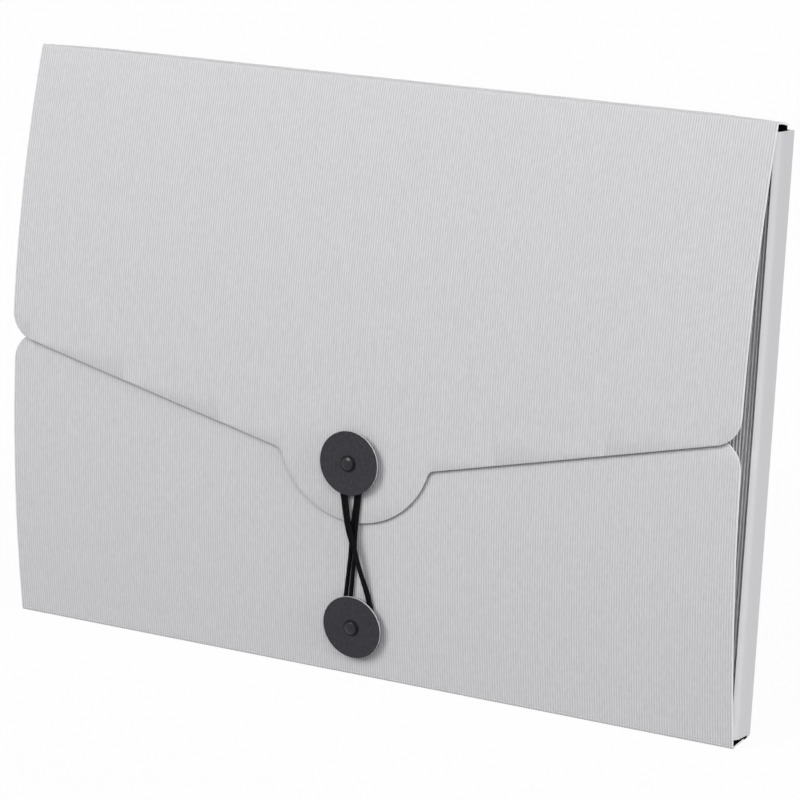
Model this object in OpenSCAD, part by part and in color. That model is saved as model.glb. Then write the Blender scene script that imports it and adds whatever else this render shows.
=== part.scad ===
// Elastic closure folder: a card case with a bowed front, a flap with a round tab, and an elastic
// looped in a figure of eight round two disc buttons. An accordion of paper pockets stands inside.
// X runs across the folder, Y from the front to the back, Z up.
// The origin is the middle of the bottom wall's underside.

/* [Cover] */
// Width of the flap and of the front panel
cover_w = 330; // [300:1:360]
// Height of the flap's crease above the underside
cover_h = 240; // [230:1:250]
// Depth of the case between its creases
case_d = 15; // [14:0.5:18]
// Thickness of the cover board
board_t = 0.9; // [0.7:0.1:1.1]
// How far the front panel bows out between its creases
panel_bow = 12.1; // [9:0.1:14]
// Gap between the front panel and the flap over it
flap_gap = 1.2; // [1.1:0.1:1.8]
// Gap between two boards at a crease that folds
crease_gap = 0.06; // [0.04:0.01:0.1]

/* [Spine] */
// How much lower the spine's back edge lies than its front edge
spine_drop = 1.9; // [1:0.1:5]
// How far the spine bows up between its creases
spine_bow = 1.15; // [0.4:0.05:1.6]
// How far each end of the spine is cut back along its back edge
spine_taper = 2.2; // [0:0.1:6]

/* [Flap] */
// Height of the flap's outer corners above the underside
flap_corner_z = 121; // [115:1:128]
// Slope of the flap's edge from a corner down to the tab
flap_slope = 13; // [10:0.5:15]
// Radius of the round tab
tab_r = 35; // [30:1:40]
// Height of the tab's lowest point
tab_low_z = 65; // [60:1:70]
// Radius of the fillet between the tab and the flap's edge
tab_fillet_r = 4; // [2:0.5:8]
// Radius of the corners where the flap and the front panel meet
corner_r = 12; // [6:1:16]
// How far the front panel reaches up past the flap's corners
panel_rise = 0.5; // [0:0.1:4]

/* [Side walls] */
// How far a side wall stands out past the flap's side edge
side_margin = 0.4; // [0.2:0.1:1]
// Radius of the side wall's rolled front lip
lip_r = 1.6; // [1.2:0.1:2.4]
// Angle that the front lip turns inwards
lip_angle = 150; // [90:5:165]
// How far the front lip lies behind the crease of the front panel
lip_gap = 3.5; // [2.5:0.1:4.5]
// Height of the side wall's lower end
side_low_z = 2.5; // [2:0.1:6]
// Gap between the side wall's upper end and the back panel's top
side_top_gap = 2; // [0.5:0.1:4]
// How far each end of the bottom wall is cut back along its back edge
bottom_taper = 2; // [1:0.1:14]

/* [Accordion] */
// Thickness of the gusset paper
paper_t = 0.25; // [0.15:0.05:0.3]
// Thickness of a divider sheet
divider_t = 0.4; // [0.25:0.05:0.5]
// Distance of the rearmost pleat's outer fold from the side of the case
tip_inset = 3.7; // [3.5:0.1:6]
// How much further in each next pleat's outer fold lies
tip_step = 1.12; // [0.8:0.02:1.2]
// Distance of the rearmost pleat's outer fold from the plane of the front creases
tip_depth = 4.7; // [4.5:0.1:6]
// Distance of the foremost pleat's outer fold from that plane
tip_end_depth = 1.1; // [0.9:0.1:1.6]
// Distance of the inner folds from the side of the case
fold_inset = 26; // [22:0.5:32]
// Gap between the foremost fold and the plane of the front creases
pleat_gap = 0.5; // [0.4:0.1:1]
// Height of the gussets' lower edge
gusset_low_z = 3.2; // [3:0.1:6]
// Drop of the gussets' upper edge below the back panel's top
gusset_drop = 6.5; // [5:0.5:36]
// Drop of the dividers' upper edge below the gussets' upper edge
divider_drop = 4; // [4:0.5:10]
// Radius of the dividers' upper corners
divider_corner_r = 6; // [2:1:12]
// Gap between the accordion's sheets and what carries them
seat_gap = 0.2; // [0.1:0.05:0.3]
// Distance of the front pocket's side gore from the side of the case, at the panel's mouth
gore_inset = 14; // [10:0.5:18]

/* [Buttons] */
// Height of the upper button's centre
upper_z = 90; // [86:0.5:94]
// Height of the lower button's centre
lower_z = 22; // [20:0.5:26]
// Radius of a button's disc
disc_r = 13; // [11:0.5:15]
// Thickness of a button's disc
disc_t = 1.2; // [0.8:0.1:1.6]
// Height of the rivet's shoulder, which holds the disc off the board
shoulder_h = 2.6; // [2.6:0.1:3.2]
// Radius of the rivet's shoulder
shoulder_r = 2.8; // [2.6:0.1:3.4]
// Radius of the rivet's shank
shank_r = 2; // [1.5:0.1:2.5]
// Radius of the rivet's domed head
head_r = 3.2; // [2.8:0.1:4]
// Height of the rivet's domed head
head_h = 1.6; // [1.2:0.1:2]
// Radius of the washer behind the board
washer_r = 4.6; // [3.8:0.1:6]
// Thickness of the washer behind the board
washer_t = 0.3; // [0.2:0.05:0.35]
// Thickness of the rivet's clinched tail
tail_t = 0.35; // [0.25:0.05:0.4]
// Running clearance round the shank and against the disc
run_gap = 0.06; // [0.03:0.01:0.1]

/* [Elastic] */
// Diameter of the elastic cord
cord_d = 1.7; // [1.2:0.1:1.7]
// Gap between neighbouring turns of cord, and between the cord and a shoulder
cord_gap = 0.15; // [0.1:0.05:0.3]
// How far the loops hang to the left on the upper button
upper_shift = 1; // [0:0.05:1.5]
// How far the loops hang to the right on the lower button
lower_shift = 2.65; // [0:0.05:3]

/* [Hidden] */
$fn = 96;
// Sides of the bowed boards' wide arcs, so fine that what seats on a board lies true to it
bow_sides = 1440;
card = [0.80, 0.80, 0.81];
paper = [0.72, 0.72, 0.73];
anthracite = [0.22, 0.22, 0.24];
black = [0.05, 0.05, 0.06];
// Larger than any section, for half planes that trim one
reach = 2 * cover_h;

// Case and creases, as points of the section across Y and Z
half_h = cover_h / 2;
front_y = -case_d / 2;
back_y = case_d / 2;
case_w = cover_w + 2 * side_margin;
back_top_z = cover_h - spine_drop;
side_top_z = back_top_z - side_top_gap;
flap_crease = [front_y, cover_h];
spine_crease = [back_y, back_top_z];
panel_crease = [front_y, 0];
bottom_crease = [back_y, 0];

// Bowed front: one arc for the flap and one for the panel behind it
flap_bow = panel_bow + board_t + flap_gap;
function bow_r(bow) = (half_h ^ 2 + bow ^ 2) / (2 * bow);
function bow_centre(bow) = [front_y - bow + bow_r(bow), half_h];
function bow_y(z, bow) = bow_centre(bow)[0] - sqrt(bow_r(bow) ^ 2 - (z - half_h) ^ 2);
function bow_lean(z, bow) = asin((half_h - z) / bow_r(bow));

// Bowed spine
spine_chord = spine_crease - flap_crease;
spine_r = (norm(spine_chord) ^ 2 / 4 + spine_bow ^ 2) / (2 * spine_bow);
spine_down = [spine_chord[1], -spine_chord[0]] / norm(spine_chord);
spine_centre = (flap_crease + spine_crease) / 2 + spine_down * (spine_r - spine_bow);
spine_slope = atan2(spine_chord[1], spine_chord[0]);
spine_turn = asin(norm(spine_chord) / 2 / spine_r);

// Direction of the mitre at each crease: half way between the two boards that meet there
flap_mitre = (spine_slope + spine_turn - 90 - bow_lean(0, flap_bow)) / 2;
spine_mitre = (180 + spine_slope - spine_turn + 270) / 2;
panel_mitre = (90 + bow_lean(0, panel_bow)) / 2;
bottom_mitre = 135;

// Flap outline
edge_rise = tan(flap_slope);
edge_zero = flap_corner_z - cover_w / 2 * edge_rise;
tab_centre = [0, tab_low_z + tab_r];
fillet_drop = edge_zero - tab_fillet_r / cos(flap_slope) - tab_centre[1];
fillet_x = (-edge_rise * fillet_drop + sqrt((edge_rise * fillet_drop) ^ 2
  - (1 + edge_rise ^ 2) * (fillet_drop ^ 2 - (tab_r + tab_fillet_r) ^ 2))) / (1 + edge_rise ^ 2);
fillet_centre = [fillet_x, tab_centre[1] + fillet_drop + edge_rise * fillet_x];
fillet_start = atan2(tab_centre[1] - fillet_centre[1], tab_centre[0] - fillet_centre[0]);
fillet_steps = 10;
fillet_arc = [for (i = [1 : fillet_steps])
  let (a = fillet_start + (90 + flap_slope - fillet_start) * i / fillet_steps)
  fillet_centre + tab_fillet_r * [cos(a), sin(a)]];
corner_x = cover_w / 2 - corner_r;
flap_corner = [corner_x, edge_zero + edge_rise * corner_x + corner_r / cos(flap_slope)];
corner_on_edge = flap_corner + corner_r * [sin(flap_slope), -cos(flap_slope)];
panel_top_z = flap_corner_z + panel_rise;

// Accordion: a divider stands between each pleat and the next
divider_count = 9;
pleat_count = divider_count + 1;
fold_x = case_w / 2 - fold_inset;
pleat_back_y = back_y - board_t - seat_gap - paper_t / 2;
pleat_front_y = front_y + pleat_gap + paper_t / 2;
pleat_pitch = (pleat_back_y - pleat_front_y) / pleat_count;
sheet_low_z = board_t + seat_gap;
gusset_top_z = back_top_z - gusset_drop;
divider_top_z = gusset_top_z - divider_drop;
gore_top_z = panel_top_z - corner_r / 4;
gore_x = case_w / 2 - gore_inset;

// Elastic: radii of the inner and outer turn where they touch the shoulder, and the strands' lift
cord_r = cord_d / 2;
turn_inner = shoulder_r + cord_gap + cord_r;
turn_outer = turn_inner + cord_d + cord_gap;
cord_sides = 8;
arc_steps = 9;
// Where along a strand, from the upper button to the lower, its height above the board is given
strand_at = [0, 0.1, 0.19, 0.28, 0.37, 0.45, 0.5, 0.58, 0.67, 0.76, 0.82, 0.91, 1];
back_lift = [1.3, 1.25, 1.15, 1.05, 1.05, 2.4, 2.15, 1.85, 1.6, 1.4, 1.3, 1.3, 1.3];
front_lift = [1.3, 1.3, 1.5, 2.3, 2.95, 4.3, 4.05, 3.75, 3.2, 2.0, 1.35, 1.3, 1.3];
// Above this height a strand lies over the flap, below it over the front panel
tab_pass_z = tab_low_z - 3;

// The half of a section's plane on the left of a line through a point, moved off the line by a gap
module half_plane(point, angle, gap = 0) {
  translate(point) rotate(angle) translate([-reach, gap]) square([2 * reach, reach]);
}

// A section drawn across Y and Z, run along X
module across(length) {
  rotate([90, 0, 90]) linear_extrude(length, center = true) children();
}

// An outline drawn across X and Z, run along Y from the front of the folder to its back
module through() {
  translate([0, reach / 4, 0]) rotate([90, 0, 0]) linear_extrude(reach / 2) children();
}

// The board of a bowed front, as a band of one arc
module bow_band(bow) {
  translate(bow_centre(bow)) difference() {
    circle(bow_r(bow), $fn = bow_sides);
    circle(bow_r(bow) - board_t, $fn = bow_sides);
  }
}

// A place on the bowed front, with its own Z along the surface's outward normal
module on_bow(z, bow) {
  translate([0, bow_y(z, bow), z]) rotate([90 + bow_lean(z, bow), 0, 0]) children();
}

// The hole for a rivet's shank through a bowed board
module rivet_hole(z, bow) {
  on_bow(z, bow) cylinder(h = 6 * board_t, r = shank_r + run_gap, center = true);
}

// A sheet with two round upper corners, as an outline across X and Z
module round_top(half_w, low_z, top_z, r) {
  translate([-half_w, low_z]) square([2 * half_w, top_z - r - low_z]);
  translate([r - half_w, low_z]) square([2 * (half_w - r), top_z - low_z]);
  for (side = [-1, 1]) translate([side * (half_w - r), top_z - r]) circle(r);
}

module back_panel() {
  foot_x = cover_w / 2 - bottom_taper;
  head_x = cover_w / 2 - spine_taper;
  color(card) intersection() {
    across(case_w) intersection() {
      translate([back_y - board_t, 0]) square([board_t, back_top_z]);
      half_plane(bottom_crease, bottom_mitre + 180);
      half_plane(spine_crease, spine_mitre, crease_gap / 2);
    }
    through() polygon([[-foot_x, 0], [foot_x, 0], [case_w / 2, side_low_z], [case_w / 2, side_top_z],
      [head_x, side_top_z], [head_x, back_top_z], [-head_x, back_top_z], [-head_x, side_top_z],
      [-case_w / 2, side_top_z], [-case_w / 2, side_low_z]]);
    // Side edges mitred to the side walls
    linear_extrude(cover_h) polygon([[-case_w / 2, back_y], [case_w / 2, back_y],
      [case_w / 2 - board_t, back_y - board_t], [board_t - case_w / 2, back_y - board_t]]);
  }
}

// A straight strip whose front edge is rolled inwards
module right_side_wall() {
  lip_y = front_y + lip_gap + lip_r;
  outer_x = case_w / 2;
  side_h = side_top_z - side_low_z;
  color(card) translate([0, 0, side_low_z]) {
    linear_extrude(side_h) polygon([[outer_x, back_y], [outer_x, lip_y], [outer_x - board_t, lip_y],
      [outer_x - board_t, back_y - board_t]]);
    linear_extrude(side_h) intersection() {
      translate([outer_x - lip_r, lip_y]) difference() {
        circle(lip_r);
        circle(lip_r - board_t);
      }
      half_plane([outer_x - lip_r, lip_y], 180);
      half_plane([outer_x - lip_r, lip_y], -lip_angle);
    }
  }
}

module left_side_wall() {
  mirror([1, 0, 0]) right_side_wall();
}

module bottom_wall() {
  front_x = cover_w / 2;
  foot_x = front_x - bottom_taper;
  color(card) intersection() {
    across(cover_w) intersection() {
      translate([front_y, 0]) square([case_d, board_t]);
      half_plane(panel_crease, panel_mitre + 180, crease_gap / 2);
      half_plane(bottom_crease, bottom_mitre);
    }
    linear_extrude(board_t) polygon([[-front_x, front_y], [front_x, front_y],
      [foot_x, back_y], [-foot_x, back_y]]);
  }
}

module top_spine() {
  front_x = cover_w / 2;
  end_x = front_x - spine_taper;
  color(card) intersection() {
    across(cover_w) intersection() {
      translate(spine_centre) difference() {
        circle(spine_r);
        circle(spine_r - board_t);
      }
      half_plane(flap_crease, flap_mitre, crease_gap / 2);
      half_plane(spine_crease, spine_mitre + 180, crease_gap / 2);
      translate([front_y, half_h]) square([case_d, cover_h]);
    }
    linear_extrude(2 * cover_h) polygon([[-front_x, front_y], [front_x, front_y],
      [end_x, back_y], [-end_x, back_y]]);
  }
}

// Outline of the flap: sloping edges, round corners and the round tab
module flap_outline() {
  right = concat(fillet_arc, [corner_on_edge, flap_corner, [cover_w / 2, flap_corner[1]],
    [cover_w / 2, cover_h + case_d]]);
  left = [for (p = reversed(right)) [-p[0], p[1]]];
  polygon(concat([tab_centre], right, left));
  translate(tab_centre) circle(tab_r);
  for (side = [-1, 1]) translate([side * flap_corner[0], flap_corner[1]]) circle(corner_r);
}

module front_flap() {
  color(card) difference() {
    intersection() {
      across(2 * cover_w) intersection() {
        bow_band(flap_bow);
        half_plane(flap_crease, flap_mitre + 180, crease_gap / 2);
        translate([front_y - 2 * flap_bow, 0]) square([2 * flap_bow + case_d, cover_h]);
      }
      through() flap_outline();
    }
    rivet_hole(upper_z, flap_bow);
  }
}

module front_panel() {
  color(card) difference() {
    intersection() {
      across(2 * cover_w) intersection() {
        bow_band(panel_bow);
        half_plane(panel_crease, panel_mitre, crease_gap / 2);
        translate([front_y - 2 * panel_bow, 0]) square([2 * panel_bow + case_d, cover_h]);
      }
      through() round_top(cover_w / 2, 0, panel_top_z, corner_r);
    }
    rivet_hole(lower_z, panel_bow);
  }
}

// Folds of the right gusset in plan: inner ones in line, outer ones stepping in towards the front
function outer_fold(pleat) = [
  case_w / 2 - tip_inset - tip_step * pleat,
  front_y + tip_depth - (tip_depth - tip_end_depth) * pleat / (pleat_count - 1)];
function fold(i) = i % 2 == 1 ? outer_fold((i - 1) / 2) : [fold_x, pleat_back_y - i * pleat_pitch / 2];

// Slope of the pleat's face that follows a fold
function face_slope(i) = (fold(i + 1)[1] - fold(i)[1]) / (fold(i + 1)[0] - fold(i)[0]);

// The point inside a fold where the two faces part
function crotch(i) =
  let (run = paper_t / (face_slope(i - 1) - face_slope(i)))
  fold(i) + [run, run * face_slope(i) + paper_t / 2];

// Plan of the right gusset's paper: its outer side, then its inner side back again
module pleat_plan() {
  last = 2 * pleat_count;
  half = [0, paper_t / 2];
  outer = [for (i = [1 : last - 1]) each i % 2 == 1 ? [fold(i) + half, fold(i) - half] : [crotch(i)]];
  inner = [for (i = [last - 1 : -1 : 1]) each i % 2 == 0 ? [fold(i) - half, fold(i) + half] : [crotch(i)]];
  polygon(concat([fold(0) + half], outer, [fold(last) - half, fold(last) + half], inner,
    [fold(0) - half]));
}

// Side gore of the front pocket: a sheet from the front fold out to the bowed panel
module gore() {
  mouth = [gore_x, front_y - panel_bow];
  root = [fold_x, pleat_front_y];
  intersection() {
    translate([0, 0, gusset_low_z]) linear_extrude(gore_top_z - gusset_low_z)
      polygon([root - [0, paper_t / 2], root + [paper_t, paper_t / 2], mouth + [paper_t, 0], mouth]);
    across(2 * cover_w) translate(bow_centre(panel_bow))
      circle(bow_r(panel_bow) - board_t - seat_gap, $fn = bow_sides);
  }
}

// Its lower end lies just above the side wall's
module right_gusset() {
  color(paper) {
    translate([0, 0, gusset_low_z]) linear_extrude(gusset_top_z - gusset_low_z) pleat_plan();
    gore();
  }
}

module left_gusset() {
  mirror([1, 0, 0]) right_gusset();
}

// A divider sheet, glued between two inner folds of the gussets
module divider(index) {
  color(paper) translate([0, pleat_back_y - index * pleat_pitch + divider_t / 2, 0])
    rotate([90, 0, 0]) linear_extrude(divider_t)
      round_top(fold_x - seat_gap, sheet_low_z, divider_top_z, divider_corner_r);
}

module divider_1() {
  divider(1);
}

module divider_2() {
  divider(2);
}

module divider_3() {
  divider(3);
}

module divider_4() {
  divider(4);
}

module divider_5() {
  divider(5);
}

module divider_6() {
  divider(6);
}

module divider_7() {
  divider(7);
}

module divider_8() {
  divider(8);
}

module divider_9() {
  divider(9);
}

// A button's disc, free to turn on the rivet's shank
module disc(z, bow) {
  color(anthracite) on_bow(z, bow) translate([0, 0, shoulder_h + run_gap]) difference() {
    cylinder(h = disc_t, r = disc_r);
    translate([0, 0, -disc_t]) cylinder(h = 3 * disc_t, r = shank_r + run_gap);
  }
}

// Half section of a shouldered rivet: domed head, shank, shoulder, and clinched tail
module rivet_section() {
  seat = shoulder_h + disc_t + 2 * run_gap;
  tail_z = -board_t - run_gap - washer_t - run_gap;
  dome_r = (head_r ^ 2 + head_h ^ 2) / (2 * head_h);
  translate([0, tail_z - tail_t]) square([shank_r, seat - tail_z + tail_t]);
  translate([0, tail_z - tail_t]) square([head_r, tail_t]);
  translate([0, run_gap]) square([shoulder_r, shoulder_h - run_gap]);
  intersection() {
    translate([0, seat + head_h - dome_r]) circle(dome_r);
    translate([0, seat]) square([head_r, head_h]);
  }
}

module rivet(z, bow) {
  color(black) on_bow(z, bow) rotate_extrude() rivet_section();
}

// The washer between the board's inner face and the rivet's tail
module washer(z, bow) {
  color(anthracite) on_bow(z, bow) translate([0, 0, -board_t - run_gap - washer_t]) difference() {
    cylinder(h = washer_t, r = washer_r);
    translate([0, 0, -washer_t]) cylinder(h = 3 * washer_t, r = shank_r + run_gap);
  }
}

module upper_disc() {
  disc(upper_z, flap_bow);
}

module upper_rivet() {
  rivet(upper_z, flap_bow);
}

module upper_washer() {
  washer(upper_z, flap_bow);
}

module lower_disc() {
  disc(lower_z, panel_bow);
}

module lower_rivet() {
  rivet(lower_z, panel_bow);
}

module lower_washer() {
  washer(lower_z, panel_bow);
}

// A point of the cord's centre line, lifted off the board that it lies over
function cord_point(x, z, lift) =
  let (bow = z > tab_pass_z ? flap_bow : panel_bow)
  [x, bow_y(z, bow) - lift * cos(bow_lean(z, bow)), z - lift * sin(bow_lean(z, bow))];

// Points of one strand from the upper button to the lower, without its two ends
function strand(top, low, lifts) = [for (i = [1 : len(strand_at) - 2])
  let (flat = top + (low - top) * strand_at[i]) cord_point(flat[0], flat[1], lifts[i])];

function reversed(list) = [for (i = [len(list) - 1 : -1 : 0]) list[i]];

// Points of a turn round a button, from one angle to another
function turn(centre, r, from, to) = [for (i = [0 : arc_steps])
  let (a = from + (to - from) * i / arc_steps)
  cord_point(centre[0] + r * cos(a), centre[1] + r * sin(a), back_lift[0])];

// Closed centre line of one figure of eight: over the upper button, down in front, round the lower
// button and up again behind the first strand
function loop_points(top_turn, low_turn) =
  let (top = [-upper_shift, upper_z], top_r = top_turn + upper_shift,
    low = [lower_shift, lower_z], low_r = low_turn + lower_shift,
    lean = atan2(low[0] - top[0], top[1] - low[1]),
    slant = asin((top_r + low_r) / norm(top - low)),
    high_left = top + top_r * [-cos(slant + lean), -sin(slant + lean)],
    high_right = top + top_r * [cos(slant - lean), -sin(slant - lean)],
    low_left = low + low_r * [-cos(slant - lean), sin(slant - lean)],
    low_right = low + low_r * [cos(slant + lean), sin(slant + lean)])
  concat(turn(top, top_r, lean - slant, 180 + lean + slant), strand(high_left, low_right, front_lift),
    turn(low, low_r, lean + slant, lean - slant - 180), reversed(strand(high_right, low_left, back_lift)));

// A closed tube of the cord's radius along a loop of points
module closed_tube(points) {
  count = len(points);
  rings = [for (i = [0 : count - 1])
    let (along = points[(i + 1) % count] - points[(i + count - 1) % count],
      side = cross(along, [0, -1, 0]) / norm(cross(along, [0, -1, 0])),
      out = cross(side, along) / norm(along))
    for (j = [0 : cord_sides - 1]) let (a = 360 * j / cord_sides)
      points[i] + cord_r * (cos(a) * side + sin(a) * out)];
  faces = [for (i = [0 : count - 1]) for (j = [0 : cord_sides - 1])
    let (next = (i + 1) % count, k = (j + 1) % cord_sides)
    [i * cord_sides + j, i * cord_sides + k, next * cord_sides + k, next * cord_sides + j]];
  polyhedron(rings, faces);
}

// Two rings of cord: each is the inner turn on one button and the outer turn on the other
module elastic_loops() {
  color(black) {
    closed_tube(loop_points(turn_inner, turn_outer));
    closed_tube(loop_points(turn_outer, turn_inner));
  }
}

back_panel();
left_side_wall();
right_side_wall();
bottom_wall();
top_spine();
front_flap();
front_panel();
left_gusset();
right_gusset();
divider_1();
divider_2();
divider_3();
divider_4();
divider_5();
divider_6();
divider_7();
divider_8();
divider_9();
upper_disc();
upper_rivet();
upper_washer();
lower_disc();
lower_rivet();
lower_washer();
elastic_loops();
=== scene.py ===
# %% [markdown]
# # An elastic closure folder
# A landscape document folder of pale ribbed card. A shallow case holds a paper accordion. A flap with
# a round tab closes over a bowed front panel, and an elastic crosses between two disc buttons.
# The exact solids come in first as a fixed frame. Each step then dresses some of them.

import math
import random

import bmesh
import bpy
from mathutils import Matrix, Vector
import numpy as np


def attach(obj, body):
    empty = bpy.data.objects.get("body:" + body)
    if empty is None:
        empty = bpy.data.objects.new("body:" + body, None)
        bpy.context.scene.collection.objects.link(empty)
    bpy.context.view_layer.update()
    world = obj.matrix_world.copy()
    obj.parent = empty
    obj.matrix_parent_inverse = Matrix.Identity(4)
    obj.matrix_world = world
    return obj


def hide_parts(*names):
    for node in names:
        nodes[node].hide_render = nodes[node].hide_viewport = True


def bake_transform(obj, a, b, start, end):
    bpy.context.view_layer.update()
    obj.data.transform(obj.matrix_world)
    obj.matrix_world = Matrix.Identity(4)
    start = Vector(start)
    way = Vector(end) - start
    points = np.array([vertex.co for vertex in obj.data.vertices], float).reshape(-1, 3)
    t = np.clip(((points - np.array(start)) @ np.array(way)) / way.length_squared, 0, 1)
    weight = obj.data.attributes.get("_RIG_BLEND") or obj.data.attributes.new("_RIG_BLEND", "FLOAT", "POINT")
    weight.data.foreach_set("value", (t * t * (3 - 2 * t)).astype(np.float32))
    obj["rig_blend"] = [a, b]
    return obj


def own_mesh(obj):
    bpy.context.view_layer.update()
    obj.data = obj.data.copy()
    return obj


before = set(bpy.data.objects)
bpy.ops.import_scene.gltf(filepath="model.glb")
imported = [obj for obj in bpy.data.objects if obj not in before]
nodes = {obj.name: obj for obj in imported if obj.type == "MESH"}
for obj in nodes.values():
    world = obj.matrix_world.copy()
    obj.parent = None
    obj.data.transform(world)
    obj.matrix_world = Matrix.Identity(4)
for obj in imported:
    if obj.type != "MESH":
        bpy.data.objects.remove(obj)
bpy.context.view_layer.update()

# %% [markdown]
# ## The camera
# A long lens stands in front of the folder, to its right and a little above, and is rolled by three
# degrees, so the folder seems to lean. The angles were found by fitting a camera to the corners, the
# notches and the buttons.

# %% Camera
MM = 0.001
YAW, PITCH, ROLL = (math.radians(a) for a in (28.89, 10.40, 3.13))
AIM = Vector((8.12, 0.0, 113.09)) * MM
CAMERA_AWAY = 1431.9 * MM
SENSOR, LENS, CLIP = 36.0, 162.0, (0.05, 50.0)

flat = math.cos(PITCH)
looking = Vector((-math.sin(YAW) * flat, math.cos(YAW) * flat, -math.sin(PITCH)))
level = Vector((math.cos(YAW), math.sin(YAW), 0.0))
raised = level.cross(looking)
right = math.cos(ROLL) * level + math.sin(ROLL) * raised
up = math.cos(ROLL) * raised - math.sin(ROLL) * level

scene = bpy.context.scene
lens = bpy.data.cameras.new("camera")
lens.sensor_width, lens.lens = SENSOR, LENS
lens.clip_start, lens.clip_end = CLIP
camera = bpy.data.objects.new("camera", lens)
axes = Matrix((right, up, -looking)).transposed().to_4x4()
camera.matrix_world = Matrix.Translation(AIM - looking * CAMERA_AWAY) @ axes
scene.collection.objects.link(camera)
scene.camera = camera
print("camera at", [round(v, 3) for v in camera.matrix_world.translation])

# %% [markdown]
# ## Light and ground
# The folder was lit softly and evenly for a catalogue, from the front and from the right, with no hard
# shadow. Lamps of a wide spread that stand far away do that, over an even world: near lamps would leave
# one side darker. A lamp behind keeps the back from lying in the dark. Each lamp has a direction, a
# share and a spread in degrees. The share is how bright a white card gets that faces it. On the flap
# they add up to about one, so a colour renders about as it is written. The camera sees a white world.

# %% World and lamps
AMBIENT = 0.28
LAMPS = {
    "front_lamp": ((-0.26, -0.85, 0.46), 0.51, 30),
    "quarter_lamp": ((0.45, -0.70, 0.55), 0.28, 28),
    "right_lamp": ((0.97, -0.10, 0.22), 0.48, 28),
    "back_lamp": ((-0.45, 0.88, 0.10), 0.6, 28),
}
WHITE = (1, 1, 1, 1)
scene.view_settings.view_transform = "Standard"


def linked(tree, kind, **values):
    """A new shader node with its named inputs set."""
    made = tree.nodes.new(kind)
    for name, value in values.items():
        made.inputs[name.replace("_", " ")].default_value = value
    return made


def by_ray(tree, others, direct):
    """One shader for rays from the camera, a shiny or a clear surface, and one for all others."""
    path, mix = tree.nodes.new("ShaderNodeLightPath"), tree.nodes.new("ShaderNodeMixShader")
    seen = path.outputs["Is Camera Ray"]
    for name in ("Is Glossy Ray", "Is Transmission Ray"):
        larger = tree.nodes.new("ShaderNodeMath")
        larger.operation = "MAXIMUM"
        tree.links.new(seen, larger.inputs[0])
        tree.links.new(path.outputs[name], larger.inputs[1])
        seen = larger.outputs[0]
    for source, socket in zip((seen, others.outputs[0], direct.outputs[0]), mix.inputs):
        tree.links.new(source, socket)
    return mix.outputs[0]


world = bpy.data.worlds.new("studio")
scene.world = world
world.use_nodes = True
sky = world.node_tree
sky.nodes.clear()
soft_sky = linked(sky, "ShaderNodeBackground", Color=WHITE, Strength=AMBIENT)
white_sky = linked(sky, "ShaderNodeBackground", Color=WHITE, Strength=1.0)
sky_out = sky.nodes.new("ShaderNodeOutputWorld")
sky.links.new(by_ray(sky, soft_sky, white_sky), sky_out.inputs[0])

for name, (way, share, spread) in LAMPS.items():
    lamp = bpy.data.lights.new(name, "SUN")
    lamp.energy, lamp.angle = share * math.pi, math.radians(spread)
    holder = bpy.data.objects.new(name, lamp)
    holder.rotation_euler = Vector(way).to_track_quat("Z", "Y").to_euler()
    scene.collection.objects.link(holder)
print("lamps:", list(LAMPS))

# %% [markdown]
# The floor is one wide face. It looks as white as the picture's ground and still takes a faint shadow,
# so it is a glow with a little matt white. To all other rays it is a middle grey, or it would light the
# folder from below.

# %% Floor
FLOOR_SIZE = 12.0
FLOOR_DROP = 0.2 * MM
FLOOR_SHADE, FLOOR_PALE, FLOOR_GREY = 0.05, 0.9, 0.34

floor_finish = bpy.data.materials.new("floor_white")
floor_finish.use_nodes = True
tree = floor_finish.node_tree
tree.nodes.clear()
matt = linked(tree, "ShaderNodeBsdfDiffuse", Color=(FLOOR_GREY, FLOOR_GREY, FLOOR_GREY, 1))
pale = linked(tree, "ShaderNodeBsdfDiffuse", Color=(FLOOR_PALE, FLOOR_PALE, FLOOR_PALE, 1))
glow = linked(tree, "ShaderNodeEmission", Color=WHITE, Strength=1.0)
shaded = linked(tree, "ShaderNodeMixShader", Fac=FLOOR_SHADE)
tree.links.new(glow.outputs[0], shaded.inputs[1])
tree.links.new(pale.outputs[0], shaded.inputs[2])
floor_out = tree.nodes.new("ShaderNodeOutputMaterial")
tree.links.new(by_ray(tree, matt, shaded), floor_out.inputs[0])

bm = bmesh.new()
bmesh.ops.create_grid(bm, x_segments=1, y_segments=1, size=FLOOR_SIZE / 2)
bmesh.ops.translate(bm, verts=bm.verts, vec=(0, 0, -FLOOR_DROP))
floor_mesh = bpy.data.meshes.new("floor")
bm.to_mesh(floor_mesh)
bm.free()
floor = bpy.data.objects.new("floor", floor_mesh)
floor_mesh.materials.append(floor_finish)
scene.collection.objects.link(floor)
print("floor:", FLOOR_SIZE, "m across")

# %% [markdown]
# ## Finishes
# Card is matt, with a soft sheen at most, and its colour isn't quite even. Each finish is a small node
# tree on a Principled shader. Noise on Object coordinates gives its clouds, streaks and flecks, and a
# fine bump is the paper's tooth. Each helper adds one group of nodes.

# %% Node helpers
CARD_TINT = (1.004, 1.0, 1.026)


def new_finish(name, roughness, specular, **extra):
    """A material with one Principled shader, whose plain values are set on its own sockets."""
    finish = bpy.data.materials.new(name)
    finish.use_nodes = True
    shader = finish.node_tree.nodes["Principled BSDF"]
    shader.inputs["Roughness"].default_value = roughness
    shader.inputs["Specular IOR Level"].default_value = specular
    for key, value in extra.items():
        shader.inputs[key.replace("_", " ")].default_value = value
    return finish, finish.node_tree, shader


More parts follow.
